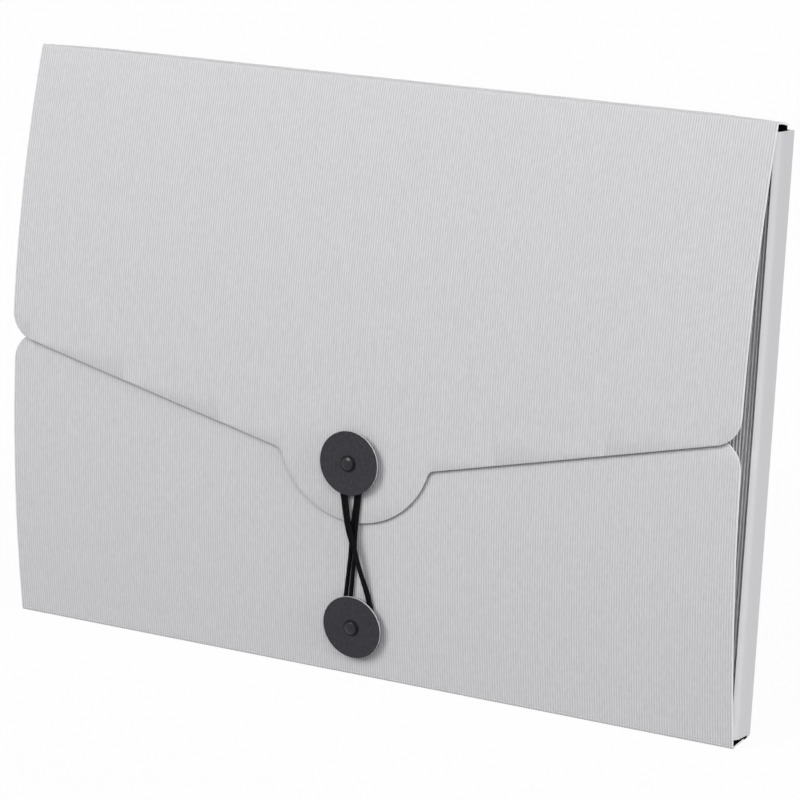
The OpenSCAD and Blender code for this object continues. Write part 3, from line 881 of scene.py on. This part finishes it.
def pleat_chain():
    """The right gusset's paper in plan, from its back fold to its front fold."""
    inner = [Vector((FOLD_X, PLEAT_BACK - PLEAT_PITCH * k)) for k in range(PLEATS + 1)]
    back_side = Vector((-CURL_WAY.y, CURL_WAY.x))
    chain = [inner[0]]
    for k in range(PLEATS):
        tip = FIRST_TIP + TIP_STEP * k
        bend = TIP_ROUND - TIP_ROUND_LOSS * k
        centre, root = tip - CURL_WAY * bend, tip - CURL_WAY * CURL_LENGTH
        chain.append(root + back_side * CURL_HALF)
        chain += half_turn(centre, centre + back_side * bend, CURL_WAY)
        chain.append(root - back_side * CURL_HALF)
        if k < PLEATS - 1:
            fold = inner[k + 1]
            chain += half_turn(fold, fold + Vector((0, FOLD_ROUND)), Vector((-1, 0)))
    return chain + [inner[-1]]


chain = pleat_chain()
print("pleat plan:", len(chain), "points")

# %% [markdown]
# The chain is drawn up into a sheet and given the paper's thickness. Every fold wanders by a few
# hundredths of a millimetre, as folded paper does. A gore leads from the foremost fold to the bowed
# front panel and closes the front pocket's side. The whole gusset bends between case and front panel.

# %% Gussets
TOP_CLEAR, GORE_CLEAR = 6.5, 0.3
GUSSET_LOW, GUSSET_TOP, GORE_TOP = 3.2, BACK_TOP - TOP_CLEAR, PANEL_TOP - CORNER_R / 4
GUSSET_SLICES, GORE_SLICES, PAPER = 14, 14, 0.2
WANDER, WANDER_SEED, WANDER_PHASE, WANDER_PACE = 0.07, 7, (0, 6.28), (0.02, 0.05)
GORE_ROOT, GORE_MOUTH = Vector((FOLD_X, -6.875)), Vector((151.4, FRONT_Y - PANEL_BOW))
BLEND_LENGTH, BLEND_LEAN = 22.675, 0.26


def draw_up(bm, points, low, high, slices):
    """Draws a chain of points up into a sheet of level slices."""
    verts = [bm.verts.new((p.x, p.y, low)) for p in points]
    edges = [bm.edges.new(pair) for pair in zip(verts, verts[1:])]
    for _ in range(slices):
        made = bmesh.ops.extrude_edge_only(bm, edges=edges)["geom"]
        moved = points_of(made)
        bmesh.ops.translate(bm, verts=moved, vec=(0, 0, (high - low) / slices))
        top = max(v.co.z for v in moved)
        edges = [g for g in made if isinstance(g, bmesh.types.BMEdge)]
        edges = [e for e in edges if all(v.co.z > top - NEAR for v in e.verts)]


wavy = random.Random(WANDER_SEED)
paces = [(wavy.uniform(*WANDER_PHASE), wavy.uniform(*WANDER_PACE)) for _ in range(PLEATS)]
for side, hand in SIDES:
    bm = bmesh.new()
    draw_up(bm, chain, GUSSET_LOW, GUSSET_TOP, GUSSET_SLICES)
    for vert in bm.verts:
        pleat = min(PLEATS - 1, max(0, round((FIRST_TIP.x - vert.co.x) / -TIP_STEP.x)))
        phase, pace = paces[pleat]
        share = (vert.co.x - FOLD_X) / (FIRST_TIP.x - FOLD_X)
        vert.co.x += WANDER * share * math.sin(phase + pace * vert.co.z)
    folded = set(bm.verts)
    draw_up(bm, [GORE_ROOT, GORE_MOUTH], GUSSET_LOW, GORE_TOP, GORE_SLICES)
    for vert in set(bm.verts) - folded:
        if vert.co.x > GORE_ROOT.x + NEAR:
            reach = panel_arc.at_z(vert.co.z, BOARD + GORE_CLEAR).x - GORE_ROOT.y
            spot = GORE_ROOT + (GORE_MOUTH - GORE_ROOT) * (reach / (GORE_MOUTH.y - GORE_ROOT.y))
            vert.co.x, vert.co.y = spot
    bmesh.ops.solidify(bm, geom=bm.faces[:], thickness=PAPER)
    bmesh.ops.scale(bm, vec=(hand, 1, 1), verts=bm.verts)
    gusset = place_piece(
        bm, f"{side}_pleats", None, [pleat_paper], [f"{side}_gusset"]
    )
    step = BLEND_LENGTH / (1 + BLEND_LEAN**2)
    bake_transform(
        gusset,
        "case",
        "front",
        start=(hand * FOLD_X * MM, PLEAT_BACK * MM, 0),
        end=(hand * (FOLD_X - BLEND_LEAN * step) * MM, (PLEAT_BACK - step) * MM, 0),
    )

# %% [markdown]
# The dividers are plain flat sheets, and their solids are already right. They stay as they are and only
# get their paper.

# %% Dividers
dividers = [nodes[name] for name in nodes if name.startswith("divider_")]
for sheet in dividers:
    sheet.data.materials.clear()
    sheet.data.materials.append(sheet_paper)
print("dividers:", len(dividers), "sheets of", sheet_paper.name)

# %% [markdown]
# ## Linings of the creases
# Inside the folder the black lining runs unbroken from board to board. A thin strip over each folding
# crease stands for it. It blends between the two boards, so it stretches round the crease when the
# folder opens and the white core never shows in a gap.

# %% Crease linings
LINING_REACH, LINING_T, LINING_STEPS = 3.0, 0.08, 6
LINING_INSET, LINING_CLEAR = 4.0, 0.01


def crease_lining(name, corner, first_way, second_way, bodies):
    """A thin strip that follows two boards' inner faces round a crease's inner corner."""
    bm = bmesh.new()
    half = COVER_W / 2 - LINING_INSET
    inward = (first_way + second_way).normalized()
    shares = [i / LINING_STEPS for i in range(LINING_STEPS + 1)]
    spots = [corner + first_way * LINING_REACH * (1 - share) for share in shares[:-1]]
    spots += [corner + second_way * LINING_REACH * share for share in shares]
    chain = [bm.verts.new((-half, p.x, p.y)) for p in spots]
    edges = [bm.edges.new(pair) for pair in zip(chain, chain[1:])]
    made = bmesh.ops.extrude_edge_only(bm, edges=edges)["geom"]
    bmesh.ops.translate(bm, verts=points_of(made), vec=(2 * half, 0, 0))
    made = bmesh.ops.extrude_face_region(bm, geom=list(bm.faces))["geom"]
    thick = (0, inward.x * LINING_T, inward.y * LINING_T)
    bmesh.ops.translate(bm, verts=points_of(made), vec=thick)
    strip = place_piece(bm, name, None, [lining])
    start, end = corner + first_way * LINING_REACH / 2, corner + second_way * LINING_REACH / 2
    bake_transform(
        strip,
        *bodies,
        start=(0, start.x * MM, start.y * MM),
        end=(0, end.x * MM, end.y * MM),
    )


inside = BOARD + LINING_CLEAR
flap_inner = flap_arc.on_line(FLAP_CREASE, flap_mitre, inside)
spine_way, flap_way = pointing(spine_slope + spine_turn), pointing(-90 - leaning(flap_arc, 0))
crease_lining("flap_crease_lining", flap_inner, spine_way, flap_way, ("spine", "flap"))

spine_inner = Vector(SPINE_CREASE) + spine_mitre * inside / abs(spine_mitre.x)
back_way, spine_way = pointing(270), pointing(180 + spine_slope - spine_turn)
crease_lining("spine_crease_lining", spine_inner, back_way, spine_way, ("case", "spine"))

panel_inner = panel_arc.on_line(PANEL_CREASE, panel_mitre, inside)
bottom_way, panel_way = pointing(0), pointing(90 + leaning(panel_arc, 0))
crease_lining("panel_crease_lining", panel_inner, bottom_way, panel_way, ("case", "front"))

# %% [markdown]
# ## The buttons
# A button is a disc of dark board under a capped rivet. Both are turned shapes: a half section is drawn
# as a chain of vertices and spun once round. Each stretch of the section takes its own finish.

# %% Button tools
UPPER_Z, LOWER_Z = 90.0, 22.0
SPIN_STEPS, SPIN_MERGE = 96, 1e-5


def on_bow(arc, z):
    """Moves a turned shape from its own axis onto the bowed board."""
    face = arc.at_z(z, 0.0)
    turn = Matrix.Rotation(math.radians(90 + leaning(arc, z)), 4, "X")
    return Matrix.Translation((0, face.x, z)) @ turn


def turned(profile, finishes_along, closed):
    """Spins a half section of (radius, height) points round the axis."""
    bm = bmesh.new()
    chain = [bm.verts.new((r, 0, h)) for r, h in profile]
    pairs = list(zip(chain, chain[1:] + chain[:1] if closed else chain[1:]))
    edges = [bm.edges.new(pair) for pair in pairs]
    middles = [((a.co + b.co) / 2, finish) for (a, b), finish in zip(pairs, finishes_along)]
    once = {"angle": 2 * math.pi, "steps": SPIN_STEPS, "use_merge": True}
    bmesh.ops.spin(bm, geom=[*chain, *edges], cent=(0, 0, 0), axis=Z_AXIS, **once)
    bmesh.ops.remove_doubles(bm, verts=bm.verts, dist=SPIN_MERGE)
    for face in bm.faces:
        mid = face.calc_center_median()
        flat = Vector((math.hypot(mid.x, mid.y), 0, mid.z))
        face.material_index = min(middles, key=lambda m: (m[0] - flat).length)[1]
    return bm


print("buttons at", UPPER_Z, "and", LOWER_Z, "mm")

# %% [markdown]
# The disc has three layers, so its pale core shows as a thin line round the edge. The rivet runs from
# its tail over a shoulder, which keeps the disc off the board, to a cap with a round rim and a dome.

# %% Sections of disc and rivet
DISC_R, DISC_T, DISC_FACE_T, STAND_OFF, SHANK_R, SHOULDER_R = 13.0, 1.2, 0.28, 2.6, 2.0, 2.8
HEAD_R, WASHER_T, TAIL_T, RUN_GAP, ROUND = 3.2, 0.3, 0.35, 0.06, 0.1
CAP_WALL, CAP_ROUND, CAP_TURN, CAP_STEPS = 0.45, 0.25, math.radians(62), 6
CAP_RISE, CAP_TOP_R, DOME_STEPS = 0.85, 0.82, 8

disc_low = STAND_OFF + RUN_GAP
disc_top = disc_low + DISC_T
hole_r = SHANK_R + RUN_GAP
disc_lower = [(hole_r, disc_low), (DISC_R - ROUND, disc_low), (DISC_R, disc_low + ROUND)]
disc_edge = [(DISC_R, disc_low + DISC_FACE_T), (DISC_R, disc_top - DISC_FACE_T)]
disc_upper = [(DISC_R, disc_top - ROUND), (DISC_R - ROUND, disc_top), (hole_r, disc_top)]
disc_section = disc_lower + disc_edge + disc_upper
disc_layers = (0, 0, 0, 1, 0, 0, 0, 1)

seat = disc_top + RUN_GAP
tail_low = -BOARD - 2 * RUN_GAP - WASHER_T - TAIL_T
cap = [(HEAD_R, seat), (HEAD_R, seat + CAP_WALL)]
for t in (CAP_TURN * i / CAP_STEPS for i in range(1, CAP_STEPS + 1)):
    cap.append((HEAD_R - CAP_ROUND * (1 - math.cos(t)), seat + CAP_WALL + CAP_ROUND * math.sin(t)))
rim_r, rim_h = cap[-1]
dome = [CAP_TOP_R * (1 - i / DOME_STEPS) for i in range(DOME_STEPS + 1)]
tail = [(0, tail_low), (HEAD_R - ROUND, tail_low), (HEAD_R, tail_low + ROUND)]
tail += [(HEAD_R, tail_low + TAIL_T), (SHANK_R, tail_low + TAIL_T), (SHANK_R, RUN_GAP)]
shoulder = [(SHOULDER_R, RUN_GAP), (SHOULDER_R, STAND_OFF), (SHANK_R, STAND_OFF), (SHANK_R, seat)]
dome_line = [(rim_r * r, rim_h + CAP_RISE * (1 - r * r)) for r in dome]
rivet_section = tail + shoulder + cap + dome_line
dome_from = len(rivet_section) - len(dome)
on_dome = [int(i >= dome_from) for i in range(len(rivet_section))]
print("disc section:", len(disc_section), "points, rivet section:", len(rivet_section))

# %% [markdown]
# Each disc rides on its own body, because it spins on its rivet. The rivet is fast in the flap or in the
# front panel. The washers behind them keep their solids and only get a finish.

# %% Discs, rivets and washers
BUTTONS = (("upper", flap_arc, UPPER_Z, "flap"), ("lower", panel_arc, LOWER_Z, "front"))
disc_finishes, rivet_finishes = (button_face, button_core), (rivet_black, rivet_top)
for place, arc, z, holder in BUTTONS:
    button = f"{place}_button"
    bm = turned(disc_section, disc_layers, closed=True)
    bm.transform(on_bow(arc, z))
    place_piece(bm, f"{button}_disc", button, disc_finishes, [f"{place}_disc"])
    bm = turned(rivet_section, on_dome, closed=False)
    bm.transform(on_bow(arc, z))
    place_piece(bm, f"{button}_rivet", holder, rivet_finishes, [f"{place}_rivet"])
    washer = nodes[f"{place}_washer"]
    washer.data.materials.clear()
    washer.data.materials.append(washer_black)

# %% [markdown]
# ## The elastic
# Two rings of elastic cord run in a figure of eight round both buttons. The strand from the upper left
# lies in front at the crossing. The route follows the solid's: turns at half the discs' stand-off,
# strands that lift over the tab's edge and over each other. Each turn has a shift to the side and a
# radius, and each strand a row of lifts off the board at the places along it.

# %% Elastic route
TOP_TURNS = ((-0.5, 4.85), (-0.8, 6.15))
LOW_TURNS = ((2.25, 7.65), (3.3, 6.1))
TAB_CLEAR, TURN_STEPS = 3, 9
STRAND_AT = (0, 0.1, 0.19, 0.28, 0.37, 0.45, 0.5, 0.58, 0.67, 0.76, 0.82, 0.91, 1)
BACK_LIFT = (1.3, 1.25, 1.15, 1.05, 1.05, 2.4, 1.9, 1.35, 1.15, 1.15, 1.2, 1.3, 1.3)
FRONT_LIFTS = (
    (1.3, 1.3, 1.5, 2.3, 2.95, 4.3, 4.15, 3.9, 3.2, 2.0, 1.55, 1.4, 1.3),
    (1.3, 1.3, 1.5, 2.3, 2.95, 4.3, 3.7, 3.05, 2.4, 1.7, 1.35, 1.3, 1.3),
)


def cord_point(x, z, lift):
    """A point of the cord's centre line, lifted off the board that it lies over."""
    arc = flap_arc if z > TAB_LOW - TAB_CLEAR else panel_arc
    lean = math.radians(leaning(arc, z))
    return Vector((x, arc.at_z(z, 0.0).x - lift * math.cos(lean), z - lift * math.sin(lean)))


def on_turn(centre, radius, angle):
    """The place on a turn at an angle, seen from the front."""
    return centre + radius * Vector((math.cos(angle), math.sin(angle)))


def strand(top, low, lifts):
    """The points of one strand between its two turns."""
    spots = [(top + (low - top) * t, lift) for t, lift in zip(STRAND_AT, lifts)][1:-1]
    return [cord_point(p.x, p.y, lift) for p, lift in spots]


def turn_round(centre, radius, start, end):
    """The points of a turn round a button."""
    angles = [start + (end - start) * i / TURN_STEPS for i in range(TURN_STEPS + 1)]
    return [cord_point(*on_turn(centre, radius, angle), BACK_LIFT[0]) for angle in angles]


def loop_route(top_turn, low_turn, front_lift):
    """The closed centre line of one figure of eight."""
    top, top_r = Vector((top_turn[0], UPPER_Z)), top_turn[1]
    low, low_r = Vector((low_turn[0], LOWER_Z)), low_turn[1]
    lean = math.atan2(low.x - top.x, top.y - low.y)
    slant = math.asin((top_r + low_r) / (top - low).length)
    high_right, high_left = lean - slant, math.pi + lean + slant
    low_right, low_left = lean + slant, lean - slant - math.pi
    front = on_turn(top, top_r, high_left), on_turn(low, low_r, low_right)
    behind = on_turn(top, top_r, high_right), on_turn(low, low_r, low_left)
    return [
        *turn_round(top, top_r, high_right, high_left),
        *strand(*front, front_lift),
        *turn_round(low, low_r, low_right, low_left),
        *reversed(strand(*behind, BACK_LIFT)),
    ]


routes = [loop_route(*ring) for ring in zip(TOP_TURNS, LOW_TURNS, FRONT_LIFTS)]
for route in routes:
    length = sum((a - b).length for a, b in zip(route, route[1:] + route[:1]))
    print("elastic ring:", round(length), "mm long")

# %% [markdown]
# A closed curve with a round bevel makes the cord, and its skin is then pressed in a small basket pattern
# for the woven cover. When the flap opens, the elastic is off the upper button and goes slack; here the cord
# only gets its own mesh, and a point at the lower button is worked out.

# %% Elastic cord
CORD_R, CORD_SIDES, CORD_STEPS, WEAVE, SLACK_KEEP = 0.84, 12, 14, 0.03, 0.8
SMOOTH_ALL = 180
curve = bpy.data.curves.new("elastic_route", "CURVE")
curve.dimensions = "3D"
curve.bevel_depth, curve.bevel_resolution = CORD_R - WEAVE, CORD_SIDES // 2 - 2
curve.resolution_u = CORD_STEPS
for route in routes:
    spline = curve.splines.new("BEZIER")
    spline.bezier_points.add(len(route) - 1)
    for point, place in zip(spline.bezier_points, route):
        point.co = place
        point.handle_left_type = point.handle_right_type = "AUTO"
    spline.use_cyclic_u = True
route_object = bpy.data.objects.new("elastic_route", curve)
scene.collection.objects.link(route_object)
finished_curve = route_object.evaluated_get(bpy.context.evaluated_depsgraph_get())
cord_mesh = bpy.data.meshes.new_from_object(finished_curve)
bpy.data.objects.remove(route_object)

bm = bmesh.new()
bm.from_mesh(cord_mesh)
bm.verts.ensure_lookup_table()
for ring in range(len(bm.verts) // CORD_SIDES):
    around = [bm.verts[ring * CORD_SIDES + i] for i in range(CORD_SIDES)]
    middle = sum((v.co for v in around), Vector()) / CORD_SIDES
    for i, vert in enumerate(around):
        over = 1 if (ring + i) % 2 == 0 else -1
        vert.co += (vert.co - middle).normalized() * WEAVE * over
elastic = place_piece(
    bm, "elastic_cord", "front", [cord_black], ["elastic_loops"], sharp=SMOOTH_ALL
)
anchor = cord_point(0, LOWER_Z, BACK_LIFT[0]) * MM
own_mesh(elastic)
